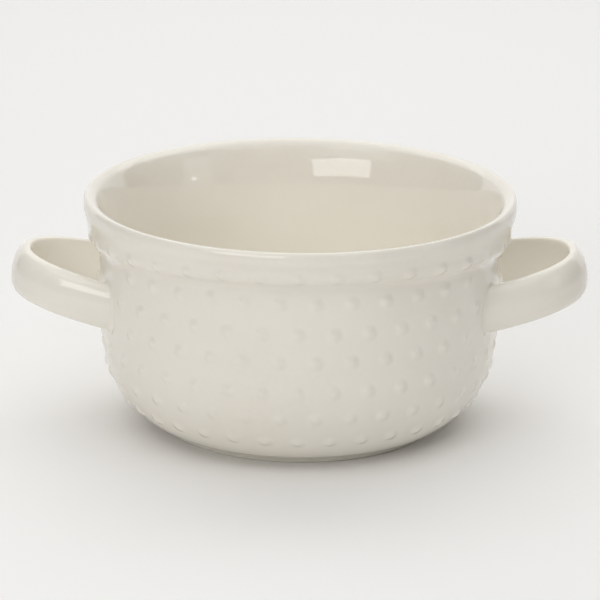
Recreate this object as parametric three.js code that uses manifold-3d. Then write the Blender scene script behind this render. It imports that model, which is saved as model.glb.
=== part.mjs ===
// A two-handled soup bowl in cream glazed stoneware: a plain lip band over a ridge, a straight wall with
// staggered rows of hobnail beads, a round belly, a low foot ring and two strap handles stuck on with slip.
// Millimetres, +Z up. The origin is the centre of the foot ring's resting face, +X runs out through the
// right handle, and the front of the bowl faces -Y.

import * as THREE from 'three';
import { mergeVertices } from 'three/addons/utils/BufferGeometryUtils.js';
import Module from 'manifold-3d';

const wasm = await Module();
wasm.setup();

// Bowl: the lip and the collar below it
const HEIGHT = 74;
const RIM_DIAMETER = 135;
const LIP_WIDTH = 3.9;
const LIP_ROUND = 3;
const COLLAR_HEIGHT = 8;
const RIDGE_DIAMETER = 132.8;
const COVE_HEIGHT = 6.8;
const FLARE_DEPTH = 16;

// Bowl: the wall, the belly and the floor
const BODY_DIAMETER = 123.6;
const WALL = 4;
const BELLY_HEIGHT = 28;
const INSIDE_RADIUS = 24;
const FLOOR = 4.2;

// Bowl: the foot ring, the ledge of the belly outside it and the hollow inside it
const FOOT_DIAMETER = 88;
const FOOT_HEIGHT = 3.2;
const FOOT_WIDTH = 3.4;
const FOOT_EDGE = 0.6;
const FOOT_LEDGE = 4.3;
const RECESS = 2.4;
const RECESS_SLOPE = 2;

// Beads: one row under the ridge and staggered rows down the wall, every second of these a little lower
const BEAD_DIAMETER = 4.2;
const BEAD_HEIGHT = 0.75;
const BEADS_PER_ROW = 36;
const BEAD_TURN = THREE.MathUtils.degToRad(-1);
const RIDGE_BEAD_DROP = 1.9;
const FIRST_ROW_DROP = 3.2;
const ROW_PITCH = 9.15;
const SECOND_ROW_DROP = 0.4;
const FOOT_CLEAR = 6;

// Handles: a strap bent to half an ellipse, tilted up from where it meets the wall
const HANDLE_REACH = 28.8;
const HANDLE_SPREAD = 48.8;
const HANDLE_CURVE = 37.5;
const HANDLE_DROP = 8.6;
const HANDLE_TILT = THREE.MathUtils.degToRad(12.5);
const STRAP_HEIGHT = 14;
const STRAP_THICKNESS = 5.5;
const STRAP_EDGE = 2.4;
const LEG_SHARE = 0.3;

// Slip joints: the pad between a leg and the wall, and how far it stands out round the strap
const JOINT_THICKNESS = 0.8;
const JOINT_MARGIN = 1.1;
const GAP = 0.3;

// Fineness of the round forms
const TURN_STEPS = 48;
const CURVE_STEPS = 3;
const LOOP_STEPS = 30;
const BEAD_SIDES = 5;
const BEAD_TIERS = 2;

// Sizes worked out from the ones above
const rimRadius = RIM_DIAMETER / 2;
const ridgeRadius = RIDGE_DIAMETER / 2;
const bodyRadius = BODY_DIAMETER / 2;
const footRadius = FOOT_DIAMETER / 2;
const insideRadius = bodyRadius - WALL;
const lipInner = rimRadius - LIP_WIDTH;
const lipBase = HEIGHT - LIP_ROUND;
const ridgeHeight = HEIGHT - COLLAR_HEIGHT;
const coveBase = ridgeHeight - COVE_HEIGHT;
const floorHeight = RECESS + FLOOR;
const flareBase = HEIGHT - FLARE_DEPTH;
const strapMiddle = coveBase - HANDLE_DROP - STRAP_HEIGHT / 2;

// A closed geometry with its shared corners merged, as a solid
function toSolid(geometry) {
  geometry.deleteAttribute('normal');
  geometry.deleteAttribute('uv');
  const merged = mergeVertices(geometry);
  const corners = merged.index.array;
  const triangles = [];
  for (let i = 0; i < corners.length; i += 3) {
    const [a, b, c] = corners.slice(i, i + 3);
    if (a !== b && b !== c && c !== a) triangles.push(a, b, c);
  }
  const vertProperties = new Float32Array(merged.attributes.position.array);
  const triVerts = new Uint32Array(triangles);
  return new wasm.Manifold(new wasm.Mesh({ numProp: 3, vertProperties, triVerts }));
}

// A solid as a named mesh with its own material
function toMesh(name, solid, material) {
  const { vertProperties, triVerts } = solid.getMesh();
  const geometry = new THREE.BufferGeometry();
  geometry.setAttribute('position', new THREE.BufferAttribute(vertProperties, 3));
  geometry.setIndex(new THREE.BufferAttribute(triVerts, 1));
  geometry.computeVertexNormals();
  const mesh = new THREE.Mesh(geometry, material);
  mesh.name = name;
  return mesh;
}

// The underside, from the axis out to the foot ring's outer corner
function undersidePath() {
  const path = new THREE.Path();
  path.moveTo(0, RECESS);
  path.lineTo(footRadius - FOOT_WIDTH - RECESS_SLOPE, RECESS);
  path.lineTo(footRadius - FOOT_WIDTH, 0);
  path.lineTo(footRadius - FOOT_EDGE, 0);
  path.lineTo(footRadius, FOOT_EDGE);
  path.lineTo(footRadius, FOOT_HEIGHT);
  return path;
}

// The outer wall, from the ledge over the foot up to the crest of the ridge
function wallPath() {
  const ledgeRadius = footRadius + FOOT_LEDGE;
  const across = bodyRadius - ledgeRadius;
  const up = BELLY_HEIGHT - FOOT_HEIGHT;
  const bellyRadius = (across * across + up * up) / (2 * across);
  const bellyStart = -Math.atan2(up, bellyRadius - across);
  const path = new THREE.Path();
  path.moveTo(ledgeRadius, FOOT_HEIGHT);
  path.absarc(bodyRadius - bellyRadius, BELLY_HEIGHT, bellyRadius, bellyStart, 0, false);
  path.lineTo(bodyRadius, coveBase);
  path.bezierCurveTo(
    bodyRadius, coveBase + COVE_HEIGHT / 2,
    ridgeRadius, ridgeHeight - COVE_HEIGHT / 3,
    ridgeRadius, ridgeHeight,
  );
  return path;
}

// The lip band, the lip and the inside, from the crest of the ridge to the axis
function insidePath() {
  const path = new THREE.Path();
  path.moveTo(ridgeRadius, ridgeHeight);
  path.quadraticCurveTo(ridgeRadius, (ridgeHeight + lipBase) / 2, rimRadius, lipBase);
  path.absellipse(rimRadius - LIP_WIDTH / 2, lipBase, LIP_WIDTH / 2, LIP_ROUND, 0, Math.PI, false);
  path.bezierCurveTo(
    lipInner, lipBase - (lipBase - flareBase) / 2,
    insideRadius, flareBase + (lipBase - flareBase) / 2,
    insideRadius, flareBase,
  );
  path.lineTo(insideRadius, floorHeight + INSIDE_RADIUS);
  path.absarc(insideRadius - INSIDE_RADIUS, floorHeight + INSIDE_RADIUS, INSIDE_RADIUS, 0, -Math.PI / 2, true);
  path.lineTo(0, floorHeight);
  return path;
}

// The bowl without its beads, turned about the Z axis
function bowlShell(wall) {
  const paths = [undersidePath(), wall, insidePath()];
  const outline = paths.flatMap((path) => path.getPoints(CURVE_STEPS));
  const distinct = outline.filter((point, i) => i === 0 || point.distanceTo(outline[i - 1]) > 1e-6);
  const shell = new THREE.LatheGeometry(distinct, TURN_STEPS);
  return toSolid(shell.rotateX(Math.PI / 2));
}

// One bead: a flattened ball, half sunk, with its pole along the wall's normal
function bead(point, tangent, angle) {
  const ball = new THREE.SphereGeometry(BEAD_DIAMETER / 2, BEAD_SIDES, BEAD_TIERS);
  ball.scale(1, (2 * BEAD_HEIGHT) / BEAD_DIAMETER, 1);
  const lean = Math.atan2(-tangent.x, tangent.y);
  ball.rotateZ(-Math.PI / 2);
  ball.rotateY(-lean);
  ball.translate(point.x, 0, point.y);
  ball.rotateZ(angle);
  return toSolid(ball);
}

// All beads: the row under the ridge, then rows down the wall until the foot is near
function beadRows(wall) {
  const length = wall.getLength();
  const coveLength = wall.curves.at(-1).getLength();
  const drops = [RIDGE_BEAD_DROP];
  for (let row = 0; ; row += 1) {
    const second = row % 2 === 1;
    const drop = coveLength + FIRST_ROW_DROP + row * ROW_PITCH + (second ? SECOND_ROW_DROP : 0);
    if (drop > length - FOOT_CLEAR) break;
    drops.push(drop);
  }
  const pitch = (2 * Math.PI) / BEADS_PER_ROW;
  return drops.flatMap((drop, row) => {
    const at = 1 - drop / length;
    const point = wall.getPointAt(at);
    const tangent = wall.getTangentAt(at);
    const start = -Math.PI / 2 + BEAD_TURN + (row % 2) * pitch / 2;
    return Array.from({ length: BEADS_PER_ROW }, (_, i) => bead(point, tangent, start + i * pitch));
  });
}

// The strap's centre line in its own level plane: two straight legs joined by half an ellipse
class StrapCurve extends THREE.Curve {
  constructor(from, to) {
    super();
    const spread = HANDLE_SPREAD / 2;
    const nose = bodyRadius + HANDLE_REACH - STRAP_THICKNESS / 2;
    this.centre = nose - HANDLE_CURVE;
    const wallAt = Math.sqrt(bodyRadius ** 2 - spread ** 2);
    this.leg = Math.max(this.centre - wallAt, 0) + STRAP_HEIGHT;
    this.spread = spread;
    this.from = from;
    this.to = to;
  }

  getPoint(t, target = new THREE.Vector3()) {
    const bend = (Math.PI * (HANDLE_CURVE + this.spread)) / 2;
    const along = (this.from + (this.to - this.from) * t) * (bend + 2 * this.leg) - this.leg;
    const inBend = THREE.MathUtils.clamp(along, 0, bend);
    const angle = (inBend / bend - 0.5) * Math.PI;
    const overrun = Math.abs(along - inBend);
    return target.set(
      this.centre + HANDLE_CURVE * Math.cos(angle) - overrun,
      this.spread * Math.sin(angle),
      0,
    );
  }
}

// The strap's section, upright, with round edges, grown by a margin all round
function strapSection(margin) {
  const x = STRAP_HEIGHT / 2 - STRAP_EDGE;
  const y = STRAP_THICKNESS / 2 - STRAP_EDGE;
  const round = STRAP_EDGE + margin;
  const section = new THREE.Shape();
  section.absarc(x, y, round, 0, Math.PI / 2, false);
  section.absarc(-x, y, round, Math.PI / 2, Math.PI, false);
  section.absarc(-x, -y, round, Math.PI, Math.PI * 1.5, false);
  section.absarc(x, -y, round, Math.PI * 1.5, Math.PI * 2, false);
  return section;
}

// A stretch of strap, tilted up about the line where the straight wall meets its middle
function strap(margin, from, to) {
  const extrudePath = new StrapCurve(from, to);
  const steps = Math.ceil(LOOP_STEPS * (to - from));
  const body = new THREE.ExtrudeGeometry(strapSection(margin), { steps, extrudePath, curveSegments: 1 });
  body.translate(-bodyRadius, 0, 0);
  body.rotateY(-HANDLE_TILT);
  return body.translate(bodyRadius, 0, strapMiddle);
}

// A round plug about the Z axis that reaches past the bowl both ways
function plug(radius) {
  const round = new THREE.CylinderGeometry(radius, radius, 3 * HEIGHT, TURN_STEPS);
  return toSolid(round.rotateX(Math.PI / 2));
}

// The whole loop, cut to stand clear of the joints
function handleSolid() {
  const loop = toSolid(strap(0, 0, 1));
  return loop.subtract(plug(bodyRadius + GAP + JOINT_THICKNESS + GAP));
}

// The pad of slip at one leg, curved to the wall on one side and to the leg's end on the other
function jointSolid(from, to) {
  const stretch = toSolid(strap(JOINT_MARGIN, from, to));
  return stretch.intersect(plug(bodyRadius + GAP + JOINT_THICKNESS)).subtract(plug(bodyRadius + GAP));
}

// The bowl with every bead that stands clear of the four joints
function bowlSolid() {
  const wall = wallPath();
  const rightLoop = toSolid(strap(JOINT_MARGIN + GAP, 0, 1));
  const leftLoop = toSolid(strap(JOINT_MARGIN + GAP, 0, 1).rotateZ(Math.PI));
  const loops = rightLoop.add(leftLoop);
  const clear = beadRows(wall).filter((ball) => ball.intersect(loops).isEmpty());
  return clear.reduce((whole, ball) => whole.add(ball), bowlShell(wall));
}

const glaze = { color: 0xded9cc, roughness: 0.16, metalness: 0 };
const slipGlaze = { color: 0xd8d1c1, roughness: 0.2, metalness: 0 };

// Both handles are alike: the left one is the right one turned half round, so its legs change places
const sides = [
  { side: 'right', turn: 0, firstLeg: 'front', lastLeg: 'rear' },
  { side: 'left', turn: Math.PI, firstLeg: 'rear', lastLeg: 'front' },
];

const soupBowl = new THREE.Group();
soupBowl.name = 'soup_bowl';
soupBowl.add(toMesh('bowl', bowlSolid(), new THREE.MeshStandardMaterial(glaze)));

for (const { side, turn, firstLeg, lastLeg } of sides) {
  const first = jointSolid(0, LEG_SHARE);
  const last = jointSolid(1 - LEG_SHARE, 1);
  const group = new THREE.Group();
  group.rotation.z = turn;
  group.add(toMesh(`${side}_handle`, handleSolid(), new THREE.MeshStandardMaterial(glaze)));
  group.add(toMesh(`${side}_${firstLeg}_joint`, first, new THREE.MeshStandardMaterial(slipGlaze)));
  group.add(toMesh(`${side}_${lastLeg}_joint`, last, new THREE.MeshStandardMaterial(slipGlaze)));
  soupBowl.add(group);
}

export default soupBowl;
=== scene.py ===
"""A two-handled soup bowl in cream glazed stoneware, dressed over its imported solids.

The bowl's outline is drawn and spun, the soft clay settles and the beads are raised. Two straps are lofted
as handles, and a fillet of slip runs round each of their four legs. Metres, +Z up, the bowl's front towards
-Y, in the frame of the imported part.
"""

import math

import bpy
import numpy as np
from bpy.props import FloatProperty, FloatVectorProperty, IntProperty, PointerProperty, StringProperty
from bpy.types import Operator, Panel, PropertyGroup
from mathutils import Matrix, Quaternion, Vector
from mathutils.geometry import interpolate_bezier
from mathutils.kdtree import KDTree


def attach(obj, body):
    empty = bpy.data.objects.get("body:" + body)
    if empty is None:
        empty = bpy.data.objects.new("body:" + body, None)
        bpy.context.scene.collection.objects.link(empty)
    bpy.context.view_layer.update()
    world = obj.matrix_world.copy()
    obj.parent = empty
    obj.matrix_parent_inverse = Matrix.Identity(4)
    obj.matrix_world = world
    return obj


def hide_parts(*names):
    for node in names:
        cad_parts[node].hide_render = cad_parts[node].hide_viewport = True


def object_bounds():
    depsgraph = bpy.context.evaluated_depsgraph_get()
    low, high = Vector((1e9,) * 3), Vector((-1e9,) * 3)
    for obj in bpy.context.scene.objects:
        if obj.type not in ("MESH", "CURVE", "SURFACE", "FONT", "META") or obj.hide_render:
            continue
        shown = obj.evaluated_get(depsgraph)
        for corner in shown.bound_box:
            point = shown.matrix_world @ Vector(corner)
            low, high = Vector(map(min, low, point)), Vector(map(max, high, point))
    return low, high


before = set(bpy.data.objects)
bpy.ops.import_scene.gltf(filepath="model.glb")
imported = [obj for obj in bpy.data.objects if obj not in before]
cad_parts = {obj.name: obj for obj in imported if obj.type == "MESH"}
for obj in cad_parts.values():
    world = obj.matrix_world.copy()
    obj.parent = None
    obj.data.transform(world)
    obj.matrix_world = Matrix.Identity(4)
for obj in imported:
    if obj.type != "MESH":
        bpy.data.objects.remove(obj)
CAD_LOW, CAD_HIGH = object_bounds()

bl_info = {
    "name": "Soup Bowl",
    "version": (1, 0, 0),
    "blender": (4, 5, 0),
    "location": "View3D > Sidebar > Soup Bowl",
    "description": "Builds a two-handled soup bowl in beaded, cream glazed stoneware",
    "category": "Add Mesh",
}

MM = 0.001
BODY = "root"
SIDES = {"right": 1, "left": -1}
LEGS = {"front": -1, "rear": 1}

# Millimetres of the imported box, and by how many the rim and the lip, halfway round, stay inside it
BOX_HEIGHT = (CAD_HIGH.z - CAD_LOW.z) / MM
BOX_DEPTH = (CAD_HIGH.y - CAD_LOW.y) / MM
LIP_MARGIN = 0.4
RIM_MARGIN = 0.05

# Lengths over which the settling clay runs out, and the stretch that it leaves at each end of the cove
SINK_BELOW = 12 * MM
SINK_ABOVE = 5 * MM
SWELL_RISE = 14 * MM
COVE_END = 2 * MM

# Share of the wall's swell where the legs of the handles meet it
SWELL_AT_LEGS = 0.7

# Share of the ridge's radius beyond which a bead lies over a handle
OVER_HANDLES = 0.8

# Mesh steps round a strap's section, along its loop and across a fillet
SECTION_STEPS = 64
LOOP_RINGS = 121
FILLET_RINGS = 9

# Angles above which an edge of a strap or a fillet stays sharp
STRAP_EDGE = math.radians(50)
FILLET_EDGE = math.radians(40)

# Brightness of the room behind the lights
ROOM_LIGHT = 0.02

# The point that most lights face
MIDDLE = Vector((0, 0, 0.04))


def length(name, description, millimetres):
    """A setting that holds a length, given in millimetres."""
    metres = millimetres * MM
    return FloatProperty(name=name, description=description, default=metres, unit="LENGTH", precision=5)


def angle(name, description, degrees):
    """A setting that holds an angle, given in degrees."""
    turn = math.radians(degrees)
    return FloatProperty(name=name, description=description, default=turn, subtype="ANGLE")


def oval_power(name, description, value):
    """A setting that holds the power of an oval, 2 for an ellipse and more for a squarer form."""
    return FloatProperty(name=name, description=description, default=value)


def number(name, description, value):
    """A setting that holds a whole number."""
    return IntProperty(name=name, description=description, default=value)


def pair(name, description, unit, right, left):
    """A setting that holds one value for the right handle and one for the left."""
    return FloatVectorProperty(
        name=name, description=description + ", right and left", size=2,
        default=(right, left), unit=unit, precision=5,
    )


def colour(name, description, code):
    """A setting that holds an sRGB colour as a hex code."""
    return StringProperty(name=name, description=description, default=code, maxlen=7)


def linear(code):
    """An sRGB hex code as the linear colour that a shader takes."""
    shares = [int(code[i:i + 2], 16) / 255 for i in (1, 3, 5)]
    return (*[s / 12.92 if s <= 0.04045 else ((s + 0.055) / 1.055) ** 2.4 for s in shares], 1.0)


# Settings


class BowlSizes(PropertyGroup):
    """Sizes of the bowl's clay body"""

    height: length("Height", "From the table to the lip's top, halfway round", BOX_HEIGHT - LIP_MARGIN)
    rim_tip: length("Rim tip", "How much higher the lip stands at the back than halfway round", 0.35)
    rim_diameter: length("Rim diameter", "Across the outside of the lip", BOX_DEPTH - RIM_MARGIN)
    lip_round: length("Lip round", "Height of the lip's round outside", 3.0)
    lip_back: length("Lip back", "From the rim in to the lip's top", 1.2)
    lip_width: length("Lip width", "From the rim in to the lip's inner edge", 4.2)
    lip_drop: length("Lip drop", "From the lip's top down to its inner edge", 1.8)
    collar_height: length("Collar height", "From the ridge's crest to the lip's top", 6.9)
    ridge_diameter: length("Ridge diameter", "Across the ridge under the lip band", 132.2)
    cove_height: length("Cove height", "From the straight wall up to the ridge's crest", 8)
    ridge_sink: length("Ridge sink", "How much lower the ridge lies over the handles", 3.8)
    side_swell: length("Side swell", "How far the wall swells out between a handle's legs", 1.2)
    flare_lean: angle("Flare lean", "How far the inside leans out at the lip", 28)
    flare_depth: length("Flare depth", "From the lip's inner edge down to the straight inside", 25)
    body_diameter: length("Body diameter", "Across the straight wall", 123.6)
    wall: length("Wall", "Thickness of the straight wall", 3.6)
    belly_height: length("Belly height", "Where the belly turns into the straight wall", 28)
    inside_radius: length("Inside radius", "Round corner between the inner wall and the floor", 24)
    floor: length("Floor", "Thickness of the clay over the foot's hollow", 4.2)
    foot_diameter: length("Foot diameter", "Across the foot ring", 88)
    foot_height: length("Foot height", "From the table to the belly's ledge", 3.2)
    foot_width: length("Foot width", "Thickness of the foot ring", 3.4)
    foot_edge: length("Foot edge", "Round corners of the foot ring", 0.7)
    foot_ledge: length("Foot ledge", "How far the belly stands out over the foot", 4.3)
    recess: length("Recess", "Depth of the hollow inside the foot ring", 2.4)
    turn_steps: number("Turn steps", "Steps of the spin round the bowl", 396)


class BeadSizes(PropertyGroup):
    """Sizes of the raised beads"""

    reach: length("Reach", "Radius at which a bead runs out into the wall", 2.75)
    height: length("Height", "How far a bead stands out of the wall", 0.62)
    ridge_reach: length("Ridge reach", "Radius at which a bead on the ridge runs out", 2.9)
    ridge_height: length("Ridge height", "How far a bead on the ridge stands out", 0.8)
    per_row: number("Beads in a row", "Beads round the bowl in one row", 36)
    turn: angle("Turn", "Turn of the bead rows from the bowl's front", -1)
    ridge_drop: length("Ridge drop", "From the ridge's crest to its beads, along the wall", 1.8)
    first_drop: length("First drop", "From the cove down to the first row on the wall", 2.75)
    pitch: length("Row pitch", "From row to row, along the wall", 9.15)
    second_drop: length("Second drop", "How much lower every second row lies", 0.4)
    foot_clear: length("Foot clearance", "Wall over the foot that stays free of rows", 6)
    step: length("Mesh step", "Distance between the mesh's rings on the beaded wall", 1.0)


class HandleSizes(PropertyGroup):
    """Sizes of a strap handle"""

    spread: pair("Spread", "Between the middles of the legs", "LENGTH", 49.5 * MM, 44.5 * MM)
    middle: pair("Middle", "Height of the strap's middle at the wall", "LENGTH", 43.95 * MM, 43.25 * MM)
    tilt: pair("Tilt", "How steeply the strap rises", "ROTATION", math.radians(12.4), math.radians(13.6))
    curve: length("Curve", "How long the strap's half oval is", 37.2)
    square: oval_power("Square", "Power of the half oval, 2 for an ellipse", 2.23)
    centre: length("Centre", "From the bowl's axis to the middle of the half oval", 50.5)
    strap_height: length("Strap height", "Height of the strap's section", 14.25)
    strap_outside: length("Strap outside", "From the section's crest out to the strap's outer face", 3.0)
    strap_inside: length("Strap inside", "From the section's crest in to the strap's inner face", 1.9)
    outside_square: oval_power("Outside square", "Power of the section's outer half", 1.9)
    inside_square: oval_power("Inside square", "Power of the section's inner half", 4.2)
    root: length("Root", "How deep the strap's ends reach into the wall", 1.5)
    fillet: length("Fillet", "Reach of the slip's fillet on the wall and on the leg", 1.0)
    inner_fillet: length("Inner fillet", "Reach of the slip's fillet inside the loop", 2.4)


class GlazeColours(PropertyGroup):
    """Colours of the glaze and the bare clay"""

    cream: colour("Cream", "Glaze at its usual thickness", "#F3EEE3")
    pale: colour("Pale", "Glaze where it ran thin", "#F4F0E6")
    pooled: colour("Pooled", "Glaze where it ran thick", "#F0EADE")
    clay: colour("Clay", "Dry clay under the foot ring", "#CFC3AF")
    grain: colour("Grain", "Darker grains in the dry clay", "#B9AA92")


class StageSettings(PropertyGroup):
    """Camera, lights and floor"""

    distance: length("Distance", "From the camera to the point at the picture's middle", 1000)
    elevation: angle("Elevation", "Height of the camera over the horizon", 17.31)
    azimuth: angle("Azimuth", "Turn of the camera round the bowl", -0.75)
    roll: angle("Roll", "Roll of the camera", 0.56)
    aim: FloatVectorProperty(
        name="Aim", description="Point at the picture's middle", size=3, subtype="XYZ", unit="LENGTH",
        default=(0.2 * MM, 0, 38.35 * MM),
    )
    focal_length: FloatProperty(
        name="Focal length", description="Lens in millimetres on a 36 mm sensor", default=190.8,
    )
    floor: colour("Floor", "Paper that the bowl stands on", "#F7F6F4")


class SoupBowlSettings(PropertyGroup):
    """All settings of the soup bowl"""

    bowl: PointerProperty(type=BowlSizes)
    beads: PointerProperty(type=BeadSizes)
    handles: PointerProperty(type=HandleSizes)
    glaze: PointerProperty(type=GlazeColours)
    stage: PointerProperty(type=StageSettings)


# Outlines


def arc(centre, radius, start, end, steps):
    """Points of a round stretch, with its angles in degrees."""
    turns = np.radians(np.linspace(start, end, steps + 1))
    return [(centre[0] + radius * math.cos(a), centre[1] + radius * math.sin(a)) for a in turns]


def bend(first, first_pull, last_pull, last, steps):
    """Points of a Bezier stretch with its two ends and their pulls."""
    return [tuple(p) for p in interpolate_bezier(first, first_pull, last_pull, last, steps + 1)]


def join(*stretches):
    """One run of points, without those that two stretches share."""
    run = []
    for point in [p for stretch in stretches for p in stretch]:
        if not run or math.dist(point, run[-1]) > 1e-7:
            run.append(point)
    return run


def distances(path):
    """How far along a path each of its points lies."""
    steps = [math.dist(here, there) for here, there in zip(path, path[1:])]
    return np.concatenate([[0], np.cumsum(steps)])


def along(path, places):
    """Points of a path at the given distances along it."""
    at = distances(path)
    radius, height = np.transpose(path)
    return list(zip(np.interp(places, at, radius), np.interp(places, at, height)))


def ease(low, high, value):
    """A soft step from 0 at the low value to 1 at the high one."""
    share = np.clip((value - low) / (high - low), 0, 1)
    return share * share * (3 - 2 * share)


def ridge_heights(bowl):
    """Heights of the ridge's crest and of the foot of the cove under it."""
    crest = bowl.height - bowl.collar_height
    return crest, crest - bowl.cove_height


def sunk(x, y, bowl):
    """How far the ridge sinks at a place round the bowl, most of all over the handles."""
    return bowl.ridge_sink * np.abs(x / np.maximum(np.hypot(x, y), MM)) ** 3


def settled(places, outside, bowl):
    """Places on the clay once its ridge sank, its lip tipped and its wall swelled between the legs."""
    x, y, z = places.T
    radius = np.maximum(np.hypot(x, y), MM)
    crest, cove_base = ridge_heights(bowl)
    into_cove = ease(cove_base - SINK_BELOW, cove_base - COVE_END, z)
    past_crest = ease(crest - MM, crest + SINK_ABOVE, z)
    sink = outside * into_cove * (1 - past_crest) * sunk(x, y, bowl)
    tip = bowl.rim_tip * ease(cove_base, bowl.height, z) * 2 * y / bowl.rim_diameter
    past_belly = ease(bowl.belly_height, bowl.belly_height + SWELL_RISE, z)
    through_cove = ease(cove_base, crest - COVE_END, z)
    swell = bowl.side_swell * outside * past_belly * (1 - through_cove) * (x / radius) ** 4
    wider = 1 + swell / radius
    return np.stack([x * wider, y * wider, z + tip - sink], -1)


def underside_outline(bowl):
    """The underside, from the axis over the foot ring's dry face to the ledge above it."""
    foot = bowl.foot_diameter / 2
    inner = foot - bowl.foot_width
    edge = bowl.foot_edge
    slope = 2.6 * MM
    fillet = 0.9 * MM
    recess = bowl.recess
    hollow = [(0, recess), (inner / 3, recess), (inner / 1.5, recess)]
    flank = bend((inner - slope, recess), (inner - slope / 3, recess), (inner, 0), (inner + edge, 0), 7)
    outside = arc((foot - edge, edge), edge, -90, 0, 5)
    under_ledge = arc((foot + fillet, bowl.foot_height - fillet), fillet, 180, 90, 5)
    return join(hollow, flank, outside, under_ledge)


def wall_outline(bowl):
    """The outer wall in fine steps, from the ledge up to the ridge's crest, and the length of its cove."""
    body, ridge = bowl.body_diameter / 2, bowl.ridge_diameter / 2
    crest, cove_base = ridge_heights(bowl)
    ledge = bowl.foot_diameter / 2 + bowl.foot_ledge
    across, up = body - ledge, bowl.belly_height - bowl.foot_height
    belly = (across ** 2 + up ** 2) / (2 * across)
    start = -math.degrees(math.atan2(up, belly - across))
    round_belly = arc((body - belly, bowl.belly_height), belly, start, 0, 90)
    low_pull, high_pull = 0.52 * bowl.cove_height, 0.58 * bowl.cove_height
    cove = bend(
        (body, cove_base), (body, cove_base + low_pull),
        (ridge, crest - high_pull), (ridge, crest), 60,
    )
    return join(round_belly, cove), distances(cove)[-1]


def inside_outline(bowl):
    """The lip band, the lip and the inside, from the ridge's crest to the axis."""
    rim, ridge = bowl.rim_diameter / 2, bowl.ridge_diameter / 2
    inside = bowl.body_diameter / 2 - bowl.wall
    crest, _ = ridge_heights(bowl)
    floor = bowl.recess + bowl.floor
    corner = (inside - bowl.inside_radius, floor + bowl.inside_radius)
    lean = Vector((math.sin(bowl.flare_lean), math.cos(bowl.flare_lean)))
    lip = Vector((rim - bowl.lip_back, bowl.height - bowl.lip_round))
    top = lip + Vector((0, bowl.lip_round))
    edge = Vector((rim - bowl.lip_width, bowl.height - bowl.lip_drop))
    straight = Vector((inside, edge.y - bowl.flare_depth))
    third = (lip.y - crest) / 3
    band = bend((ridge, crest), (ridge, crest + third), (rim, lip.y - third), (rim, lip.y), 5)
    quarter = np.linspace(0, math.pi / 2, 10)
    lip_outside = [
        (lip.x + bowl.lip_back * math.cos(turn), lip.y + bowl.lip_round * math.sin(turn))
        for turn in quarter
    ]
    pull = bowl.lip_drop / 2
    lip_inside = bend(top, top - Vector((pull, 0)), edge + pull * lean, edge, 6)
    pull = bowl.flare_depth / 3
    flared = bend(edge, edge - pull * lean, straight + Vector((0, pull)), straight, 14)
    round_corner = arc(corner, bowl.inside_radius, 0, -90, 18)
    flat = [(corner[0] / 2, floor), (0, floor)]
    return join(band, lip_outside, lip_inside, flared, round_corner, flat)


def row_drops(beads, wall_length, cove_length):
    """How far below the ridge's crest each row of beads lies, along the wall."""
    drops = [beads.ridge_drop]
    drop = cove_length + beads.first_drop
    while drop < wall_length - beads.foot_clear:
        drops.append(drop + (0 if len(drops) % 2 else beads.second_drop))
        drop += beads.pitch
    return drops


# Mesh helpers


def clear_selection():
    """Leaves object mode ready for a new piece."""
    bpy.ops.object.select_all(action="DESELECT")


def vertex_places(mesh):
    """A mesh's vertex positions as an array."""
    flat = np.empty(len(mesh.vertices) * 3)
    mesh.vertices.foreach_get("co", flat)
    return flat.reshape(-1, 3)


def place_tree(places):
    """A search tree that finds the nearest of some places."""
    tree = KDTree(len(places))
    for i, place in enumerate(places):
        tree.insert(place, i)
    tree.balance()
    return tree


def select_faces(mesh, chosen):
    """Selects only these faces of a mesh that is in object mode."""
    mesh.vertices.foreach_set("select", [False] * len(mesh.vertices))
    mesh.edges.foreach_set("select", [False] * len(mesh.edges))
    mesh.polygons.foreach_set("select", chosen)


def select_vertices(mesh, indices):
    """Selects only these vertices of a mesh that is in object mode."""
    mesh.polygons.foreach_set("select", [False] * len(mesh.polygons))
    mesh.edges.foreach_set("select", [False] * len(mesh.edges))
    chosen = np.zeros(len(mesh.vertices), bool)
    chosen[list(indices)] = True
    mesh.vertices.foreach_set("select", chosen)


def close_up():
    """Merges doubled vertices and turns all faces outwards, in edit mode."""
    bpy.ops.mesh.select_all(action="SELECT")
    bpy.ops.mesh.remove_doubles(threshold=1e-6)
    bpy.ops.mesh.normals_make_consistent(inside=False)


def spin_outline(name, outline, steps):
    """Extrudes a vertex along an outline of radius and height, and spins it about the Z axis."""
    clear_selection()
    bpy.ops.mesh.primitive_circle_add(vertices=3)
    piece = bpy.context.object
    piece.name = name
    bpy.ops.object.mode_set(mode="EDIT")
    bpy.ops.mesh.select_all(action="SELECT")
    bpy.ops.mesh.merge(type="CENTER")
    bpy.ops.transform.translate(value=(outline[0][0], 0, outline[0][1]))
    for last, point in zip(outline, outline[1:]):
        move = (point[0] - last[0], 0, point[1] - last[1])
        bpy.ops.mesh.extrude_vertices_move(TRANSFORM_OT_translate={"value": move})
    bpy.ops.mesh.select_all(action="SELECT")
    bpy.ops.mesh.spin(steps=steps, angle=2 * math.pi, center=(0, 0, 0), axis=(0, 0, 1))
    close_up()
    bpy.ops.object.mode_set(mode="OBJECT")
    return piece


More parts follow.
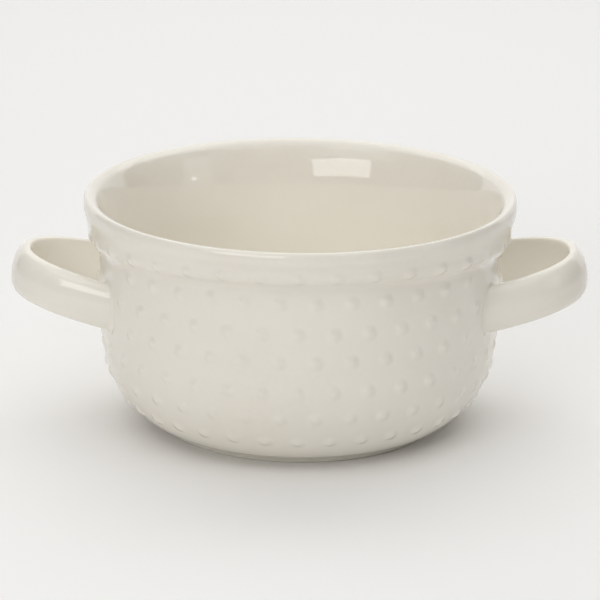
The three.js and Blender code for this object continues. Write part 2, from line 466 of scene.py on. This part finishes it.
def loft_rings(name, rings):
    """Extrudes a straight tube, ring by ring, then lays its vertices on the given rings."""
    count = len(rings[0])
    clear_selection()
    bpy.ops.mesh.primitive_circle_add(vertices=count, radius=1)
    piece = bpy.context.object
    piece.name = name
    bpy.ops.object.mode_set(mode="EDIT")
    bpy.ops.mesh.select_all(action="SELECT")
    for _ in rings[1:]:
        bpy.ops.mesh.extrude_region_move(TRANSFORM_OT_translate={"value": (0, 0, 1)})
    bpy.ops.object.mode_set(mode="OBJECT")
    straight = vertex_places(piece.data)
    ring = np.rint(straight[:, 2]).astype(int)
    turn = np.arctan2(straight[:, 1], straight[:, 0])
    place = np.rint(turn / (2 * math.pi) * count).astype(int) % count
    piece.data.vertices.foreach_set("co", np.asarray(rings)[ring, place].ravel())
    piece.data.update()
    return piece


def finish_piece(piece, node, slot, *materials):
    """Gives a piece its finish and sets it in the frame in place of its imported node."""
    for material in materials:
        piece.data.materials.append(material)
    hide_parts(node)
    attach(piece, BODY)


# Handles


class Strap:
    """The surface of one strap handle, over a turn round its loop and a place on its section."""

    def __init__(self, handle, bowl, side):
        self.handle = handle
        self.hinge = bowl.body_diameter / 2
        self.wall = self.hinge + SWELL_AT_LEGS * bowl.side_swell
        self.side = side
        which = 0 if side > 0 else 1
        self.spread = handle.spread[which] / 2
        self.middle = handle.middle[which]
        self.tilt = handle.tilt[which]

    def section(self):
        """Places across and up the strap's oval section, with their outward normals."""
        handle = self.handle
        turn = np.linspace(0, 2 * math.pi, SECTION_STEPS, endpoint=False)
        outside = np.cos(turn) >= 0
        power = np.where(outside, handle.outside_square, handle.inside_square)
        width = np.where(outside, handle.strap_outside, handle.strap_inside)
        across = width * np.sign(np.cos(turn)) * np.abs(np.cos(turn)) ** (2 / power)
        upright = handle.strap_height / 2 * np.sign(np.sin(turn)) * np.abs(np.sin(turn)) ** (2 / power)
        points = np.stack([across, upright], -1)
        ahead = np.roll(points, -1, axis=0) - np.roll(points, 1, axis=0)
        normals = np.stack([ahead[:, 1], -ahead[:, 0]], -1)
        return across, upright, normals / np.linalg.norm(normals, axis=1)[:, None]

    def surface(self, turn, across, upright):
        """Points at a turn from the nose, at a place across and up the section."""
        handle = self.handle
        power = 2 / handle.square
        cos, sin = np.cos(turn), np.sin(turn)
        along_x = handle.curve * np.abs(cos) ** power
        along_y = self.spread * np.sign(sin) * np.abs(sin) ** power
        out_x = self.spread * np.abs(cos) ** (2 - power)
        out_y = handle.curve * np.sign(sin) * np.abs(sin) ** (2 - power)
        full = np.hypot(out_x, out_y)
        reach = handle.centre + along_x + across * out_x / full - self.hinge
        sideways = along_y + across * out_y / full
        lean, rise = math.sin(self.tilt), math.cos(self.tilt)
        x = self.hinge + reach * rise - upright * lean
        z = self.middle + reach * lean + upright * rise
        return np.stack([self.side * x, self.side * sideways, z], -1)

    def meeting(self, radius, across, upright):
        """The turn at which each line along the strap comes to a radius about the bowl's axis."""
        near = np.zeros_like(across)
        far = np.full_like(across, math.pi / 2)
        for _ in range(40):
            middle = (near + far) / 2
            outside = np.hypot(*self.surface(middle, across, upright).T[:2]) > radius
            near = np.where(outside, middle, near)
            far = np.where(outside, far, middle)
        return far


def fillet_rings(strap, leg):
    """Rings of the slip's fillet round one leg, from the strap to the wall and back underneath."""
    across, upright, normals = strap.section()
    handle = strap.handle
    reach = handle.fillet + (handle.inner_fillet - handle.fillet) * np.clip(-normals[:, :1], 0, 1)
    skin, deep = 0.02 * MM, 0.5 * MM
    meet = strap.meeting(strap.wall, across, upright)
    corner = strap.surface(leg * meet, across, upright)
    off_strap = across + normals[:, 0] * MM, upright + normals[:, 1] * MM
    outward = strap.surface(leg * meet, *off_strap) - corner
    outward /= np.linalg.norm(outward, axis=1)[:, None]
    on_strap = strap.surface(leg * (meet - reach[:, 0] / handle.curve), across, upright)
    radial = corner * (1, 1, 0) / strap.wall
    sideways = outward - (outward * radial).sum(1)[:, None] * radial
    on_wall = corner + reach * sideways / np.linalg.norm(sideways, axis=1)[:, None]
    on_wall[:, :2] *= strap.wall / np.linalg.norm(on_wall[:, :2], axis=1)[:, None]
    first, last = on_strap - skin * outward, on_wall - skin * radial
    shares = np.linspace(0, 1, FILLET_RINGS)
    hollow = [(1 - s) ** 2 * first + 2 * s * (1 - s) * corner + s ** 2 * last for s in shares]
    return [*hollow, on_wall - deep * radial, on_strap - deep * outward, first]


# Materials


def add_node(tree, kind, inputs=None, **settings):
    """Adds a node with its settings, and fills or links each named input."""
    node = tree.nodes.new(kind)
    for name, value in settings.items():
        setattr(node, name, value)
    for name, value in (inputs or {}).items():
        if isinstance(value, bpy.types.NodeSocket):
            tree.links.new(value, node.inputs[name])
        else:
            node.inputs[name].default_value = value
    return node


def new_material(name):
    """An empty node material."""
    material = bpy.data.materials.new(name)
    material.use_nodes = True
    material.node_tree.nodes.clear()
    return material


def glazed_stoneware(colours):
    """Cream gloss glaze, dipped and fired: a clear, slightly wavy shine over an even, milky cream."""
    material = new_material("cream_gloss_glaze")
    tree = material.node_tree
    place = add_node(tree, "ShaderNodeTexCoord").outputs["Object"]
    drift = add_node(tree, "ShaderNodeTexNoise", {"Vector": place, "Scale": 1 / (35 * MM), "Detail": 2})
    speck = add_node(tree, "ShaderNodeTexNoise", {"Vector": place, "Scale": 1 / (1.6 * MM), "Detail": 1})
    wave = add_node(tree, "ShaderNodeTexNoise", {"Vector": place, "Scale": 1 / (9 * MM), "Detail": 1})
    tone = add_node(tree, "ShaderNodeMath", {
        0: speck.outputs["Fac"], 1: 0.25, 2: drift.outputs["Fac"],
    }, operation="MULTIPLY_ADD")
    base = add_node(tree, "ShaderNodeValToRGB", {"Fac": tone.outputs["Value"]})
    ramp = base.color_ramp
    ramp.elements[0].position, ramp.elements[0].color = 0.35, linear(colours.pooled)
    ramp.elements[1].position, ramp.elements[1].color = 0.95, linear(colours.pale)
    middle = ramp.elements.new(0.6)
    middle.color = linear(colours.cream)
    gloss = add_node(tree, "ShaderNodeMapRange", {
        "Value": drift.outputs["Fac"], "To Min": 0.03, "To Max": 0.06,
    })
    bump = add_node(tree, "ShaderNodeBump", {
        "Height": wave.outputs["Fac"], "Strength": 0.5, "Distance": 0.03 * MM,
    })
    shader = add_node(tree, "ShaderNodeBsdfPrincipled", {
        "Base Color": base.outputs["Color"], "Roughness": gloss.outputs["Result"],
        "Normal": bump.outputs["Normal"], "IOR": 1.52,
    })
    add_node(tree, "ShaderNodeOutputMaterial", {"Surface": shader.outputs["BSDF"]})
    return material


def bare_stoneware(colours):
    """Fired clay wiped free of glaze: dry, buff and finely gritty."""
    material = new_material("bare_stoneware")
    tree = material.node_tree
    place = add_node(tree, "ShaderNodeTexCoord").outputs["Object"]
    grit = add_node(tree, "ShaderNodeTexNoise", {"Vector": place, "Scale": 1 / (0.6 * MM), "Detail": 3})
    base = add_node(tree, "ShaderNodeValToRGB", {"Fac": grit.outputs["Fac"]})
    base.color_ramp.elements[0].color = linear(colours.grain)
    base.color_ramp.elements[1].color = linear(colours.clay)
    bump = add_node(tree, "ShaderNodeBump", {
        "Height": grit.outputs["Fac"], "Strength": 0.4, "Distance": 0.05 * MM,
    })
    shader = add_node(tree, "ShaderNodeBsdfPrincipled", {
        "Base Color": base.outputs["Color"], "Roughness": 0.85,
        "Normal": bump.outputs["Normal"], "IOR": 1.5,
    })
    add_node(tree, "ShaderNodeOutputMaterial", {"Surface": shader.outputs["BSDF"]})
    return material


def studio_paper(code):
    """Pale seamless paper: matt and even."""
    material = new_material("studio_paper")
    tree = material.node_tree
    shader = add_node(tree, "ShaderNodeBsdfPrincipled", {
        "Base Color": linear(code), "Roughness": 0.9, "Specular IOR Level": 0.1,
    })
    add_node(tree, "ShaderNodeOutputMaterial", {"Surface": shader.outputs["BSDF"]})
    return material


MADE = {}


def shared_material(make, colours):
    """The material of a maker function, made once."""
    if make.__name__ not in MADE:
        MADE[make.__name__] = make(colours)
    return MADE[make.__name__]


# Operators


class SOUPBOWL_OT_body(Operator):
    """Draws the bowl's outline, spins it and raises the beads on its wall"""

    bl_idname = "soup_bowl.body"
    bl_label = "Bowl body"
    bl_options = {"REGISTER", "UNDO"}

    def execute(self, context):
        settings = context.scene.soup_bowl
        bowl, beads = settings.bowl, settings.beads
        wall, cove_length = wall_outline(bowl)
        wall_length = distances(wall)[-1]
        rows = [wall_length - drop for drop in row_drops(beads, wall_length, cove_length)]
        stops = [wall_length, *rows, 0]
        places = [
            high + (low - high) * i / count
            for high, low in zip(stops, stops[1:])
            for count in [max(1, round((high - low) / beads.step))]
            for i in range(count)
        ]
        rings = along(wall, sorted([*places, 0]))
        outline = join(underside_outline(bowl), rings, inside_outline(bowl))
        piece = spin_outline("bowl_body", outline, bowl.turn_steps)
        self.settle(piece.data, bowl)
        self.raise_beads(piece.data, settings, along(wall, rows))
        bpy.ops.object.shade_smooth()
        glaze = shared_material(glazed_stoneware, settings.glaze)
        finish_piece(piece, "bowl", "bowl_glaze", glaze, bare_stoneware(settings.glaze))
        self.bare_foot(piece)
        return {"FINISHED"}

    def settle(self, mesh, bowl):
        """Lets the soft clay settle before the beads are put on."""
        places = vertex_places(mesh)
        normals = np.empty(places.size)
        mesh.vertices.foreach_get("normal", normals)
        outside = (normals.reshape(-1, 3)[:, :2] * places[:, :2]).sum(1) > 0
        mesh.vertices.foreach_set("co", settled(places, outside, bowl).ravel())
        mesh.update()

    def raise_beads(self, mesh, settings, rows):
        """Pulls the mesh out softly at each bead's middle, half as far on the ridge over the handles."""
        beads = settings.beads
        on_ridge, on_wall = self.bead_places(settings, rows)
        self.divide(mesh, settings, on_wall)
        soft = {"use_proportional_edit": True, "proportional_edit_falloff": "SMOOTH"}
        ridge = rows[0][0]
        at_sides = [place for place in on_ridge if abs(place[0]) > OVER_HANDLES * ridge]
        elsewhere = [place for place in on_ridge if abs(place[0]) <= OVER_HANDLES * ridge]
        for group, height in ((at_sides, beads.ridge_height / 2), (elsewhere, beads.ridge_height)):
            wider = 1 + height / ridge
            self.select_nearest(mesh, group)
            bpy.ops.transform.resize(
                value=(wider, wider, 1), center_override=(0, 0, 0),
                proportional_size=beads.ridge_reach, **soft,
            )
            bpy.ops.object.mode_set(mode="OBJECT")
        self.select_nearest(mesh, on_wall)
        bpy.ops.transform.shrink_fatten(value=beads.height, proportional_size=beads.reach, **soft)
        bpy.ops.object.mode_set(mode="OBJECT")

    def divide(self, mesh, settings, on_wall):
        """Divides the whole cove and the faces round the wall's beads, so that beads come out round."""
        bowl, beads = settings.bowl, settings.beads
        crest, cove_base = ridge_heights(bowl)
        near = place_tree(on_wall)
        chosen = []
        for face in mesh.polygons:
            place = face.center
            by_bead = near.find(place)[2] < beads.reach + beads.step / 2
            before_sinking = place.z + sunk(place.x, place.y, bowl)
            in_cove = cove_base < before_sinking < crest + MM and face.normal.xy.dot(place.xy) > 0
            chosen.append(bool(by_bead or in_cove))
        select_faces(mesh, chosen)
        bpy.ops.object.mode_set(mode="EDIT")
        bpy.ops.mesh.select_mode(type="FACE")
        bpy.ops.mesh.subdivide(number_cuts=1)
        bpy.ops.object.mode_set(mode="OBJECT")

    def bead_places(self, settings, rows):
        """The middles of the beads on the ridge and on the wall, where no leg of a handle stands."""
        bowl, beads, handles = settings.bowl, settings.beads, settings.handles
        pitch = 2 * math.pi / beads.per_row
        _, cove_base = ridge_heights(bowl)
        zero = np.zeros(1)
        straps = [Strap(handles, bowl, side) for side in SIDES.values()]
        legs = [
            strap.surface(leg * strap.meeting(strap.wall, zero, zero), zero, zero)[0]
            for strap in straps
            for leg in LEGS.values()
        ]
        clear_across = handles.strap_outside + handles.fillet + beads.reach
        clear_up = handles.strap_height / 2 + handles.fillet + beads.reach

        def is_clear(place):
            """Whether a bead at this place lies clear of every leg."""
            return all(
                math.dist(place[:2], leg[:2]) > clear_across or abs(place[2] - leg[2]) > clear_up
                for leg in legs
            )

        kept = []
        for row, (radius, height) in enumerate(rows):
            turns = -math.pi / 2 + beads.turn + (np.arange(beads.per_row) + row % 2 / 2) * pitch
            x, y = radius * np.cos(turns), radius * np.sin(turns)
            ring = settled(np.stack([x, y, np.full_like(turns, height)], -1), row == 0, bowl)
            kept.append([
                place for place in ring
                if (row == 0 or place[2] < cove_base - sunk(place[0], place[1], bowl)) and is_clear(place)
            ])
        return kept[0], [place for row in kept[1:] for place in row]

    def select_nearest(self, mesh, places):
        """Goes into edit mode with the vertex nearest to each place selected."""
        vertices = place_tree(vertex_places(mesh))
        select_vertices(mesh, [vertices.find(place)[1] for place in places])
        bpy.ops.object.mode_set(mode="EDIT")
        bpy.ops.mesh.select_mode(type="VERT")

    def bare_foot(self, piece):
        """Leaves the foot ring's resting face free of glaze."""
        rests = 0.02 * MM
        for face in piece.data.polygons:
            if face.center.z < rests:
                face.material_index = 1


class SOUPBOWL_OT_handles(Operator):
    """Lofts the two strap handles, with their ends set into the wall"""

    bl_idname = "soup_bowl.handles"
    bl_label = "Handles"
    bl_options = {"REGISTER", "UNDO"}

    def execute(self, context):
        settings = context.scene.soup_bowl
        handle = settings.handles
        for name, side in SIDES.items():
            strap = Strap(handle, settings.bowl, side)
            across, upright, _ = strap.section()
            ends = strap.meeting(strap.hinge - handle.root, across, upright)
            shares = np.linspace(-1, 1, LOOP_RINGS)
            rings = [strap.surface(share * ends, across, upright) for share in shares]
            piece = loft_rings(f"{name}_strap_handle", rings)
            bpy.ops.object.mode_set(mode="EDIT")
            bpy.ops.mesh.select_all(action="SELECT")
            bpy.ops.mesh.fill_holes(sides=0)
            close_up()
            bpy.ops.object.mode_set(mode="OBJECT")
            bpy.ops.object.shade_smooth_by_angle(angle=STRAP_EDGE)
            glaze = shared_material(glazed_stoneware, settings.glaze)
            finish_piece(piece, f"{name}_handle", "handle_glaze", glaze)
        return {"FINISHED"}


class SOUPBOWL_OT_joints(Operator):
    """Runs a fillet of slip round each leg where it meets the wall"""

    bl_idname = "soup_bowl.joints"
    bl_label = "Slip joints"
    bl_options = {"REGISTER", "UNDO"}

    def execute(self, context):
        settings = context.scene.soup_bowl
        for name, side in SIDES.items():
            strap = Strap(settings.handles, settings.bowl, side)
            for leg_name, leg in LEGS.items():
                piece = loft_rings(f"{name}_{leg_name}_slip_fillet", fillet_rings(strap, leg * side))
                bpy.ops.object.mode_set(mode="EDIT")
                close_up()
                bpy.ops.object.mode_set(mode="OBJECT")
                bpy.ops.object.shade_smooth_by_angle(angle=FILLET_EDGE)
                glaze = shared_material(glazed_stoneware, settings.glaze)
                finish_piece(piece, f"{name}_{leg_name}_joint", "joint_glaze", glaze)
        return {"FINISHED"}


class SOUPBOWL_OT_stage(Operator):
    """Sets up the floor, the studio lights and the camera"""

    bl_idname = "soup_bowl.stage"
    bl_label = "Studio"
    bl_options = {"REGISTER", "UNDO"}

    def execute(self, context):
        stage = context.scene.soup_bowl.stage
        clear_selection()
        bpy.ops.mesh.primitive_plane_add(size=8)
        floor = context.object
        floor.name = "studio_floor"
        floor.data.materials.append(studio_paper(stage.floor))
        self.world(context.scene)
        self.panel("key_softbox", self.around(27.2, 22.4, 0.8), (0.5, 0.225), 3.45)
        self.panel("side_panel", self.around(-67, 17.5, 0.86), (0.29, 0.42), 0.85)
        self.panel("small_lamp", self.around(-69.6, 12.9, 0.8), (0.042, 0.035), 4)
        self.panel("front_fill", Vector((0, -1.7, 0.55)), (3, 1.1), 0.16, Vector((0, 0, 0.55)))
        self.panel("front_softbox", self.around(0, 45, 1.2), (1.0, 0.5), 0.49)
        self.panel("left_softbox", self.around(45, 40, 1.1), (0.7, 0.5), 0.68)
        self.panel("right_softbox", self.around(-40, 42, 1.1), (0.7, 0.5), 0.3)
        self.panel("rear_softbox", self.around(180, 55, 1), (1.4, 0.7), 0.68)
        self.panel("ceiling_panel", Vector((0, 0, 1.2)), (2, 2), 1.06)
        self.panel("back_panel", Vector((0.2, 1.1, 0.6)), (2.8, 1.2), 0.9, Vector((0.2, 0, 0.6)))
        self.camera(context.scene, stage)
        context.scene.view_settings.view_transform = "Standard"
        return {"FINISHED"}

    def world(self, scene):
        """The dim room behind the lights."""
        world = bpy.data.worlds.new("studio_walls")
        world.use_nodes = True
        background = world.node_tree.nodes["Background"]
        background.inputs["Color"].default_value = (1, 1, 1, 1)
        background.inputs["Strength"].default_value = ROOM_LIGHT
        scene.world = world

    def around(self, left, up, away):
        """A place so many degrees left of the bowl's front and above the horizon, and so far away."""
        left, up = math.radians(left), math.radians(up)
        towards = Vector((-math.sin(left) * math.cos(up), -math.cos(left) * math.cos(up), math.sin(up)))
        return MIDDLE + away * towards

    def panel(self, name, place, size, brightness, aim=None):
        """A rectangle of soft light that faces the bowl, as bright as white paper at a brightness of 1."""
        bpy.ops.object.light_add(type="AREA", location=place)
        lamp = bpy.context.object
        lamp.name = name
        lamp.rotation_euler = (place - (aim or MIDDLE)).to_track_quat("Z", "Y").to_euler()
        lamp.data.shape = "RECTANGLE"
        lamp.data.size, lamp.data.size_y = size
        lamp.data.energy = brightness * math.pi * size[0] * size[1]

    def camera(self, scene, stage):
        """The camera in front of the bowl, a little above it."""
        aim = Vector(stage.aim)
        turned, up = stage.azimuth, stage.elevation
        level = math.cos(up)
        back = Vector((math.sin(turned) * level, -math.cos(turned) * level, math.sin(up)))
        turn = back.to_track_quat("Z", "Y") @ Quaternion((0, 0, 1), stage.roll)
        bpy.ops.object.camera_add(location=aim + stage.distance * back, rotation=turn.to_euler())
        scene.camera = bpy.context.object
        scene.camera.data.lens = stage.focal_length
        scene.camera.data.sensor_width = 36


class SOUPBOWL_PT_panel(Panel):
    """Lists the bowl's pieces and the studio"""

    bl_idname = "SOUPBOWL_PT_panel"
    bl_label = "Soup Bowl"
    bl_space_type = "VIEW_3D"
    bl_region_type = "UI"
    bl_category = "Soup Bowl"

    def draw(self, context):
        for operator in OPERATORS:
            self.layout.operator(operator.bl_idname)
        settings = context.scene.soup_bowl
        for name in ("bowl", "beads", "handles", "glaze", "stage"):
            box = self.layout.box()
            box.label(text=name.capitalize())
            group = getattr(settings, name)
            for key in group.__annotations__:
                box.prop(group, key)


GROUPS = (BowlSizes, BeadSizes, HandleSizes, GlazeColours, StageSettings, SoupBowlSettings)
OPERATORS = (SOUPBOWL_OT_body, SOUPBOWL_OT_handles, SOUPBOWL_OT_joints, SOUPBOWL_OT_stage)
CLASSES = (*GROUPS, *OPERATORS, SOUPBOWL_PT_panel)


def register():
    for item in CLASSES:
        bpy.utils.register_class(item)
    bpy.types.Scene.soup_bowl = PointerProperty(type=SoupBowlSettings)


def unregister():
    del bpy.types.Scene.soup_bowl
    for item in reversed(CLASSES):
        bpy.utils.unregister_class(item)


def main():
    register()
    bpy.ops.soup_bowl.body()
    bpy.ops.soup_bowl.handles()
    bpy.ops.soup_bowl.joints()
    bpy.ops.soup_bowl.stage()


if __name__ == "__main__":
    main()
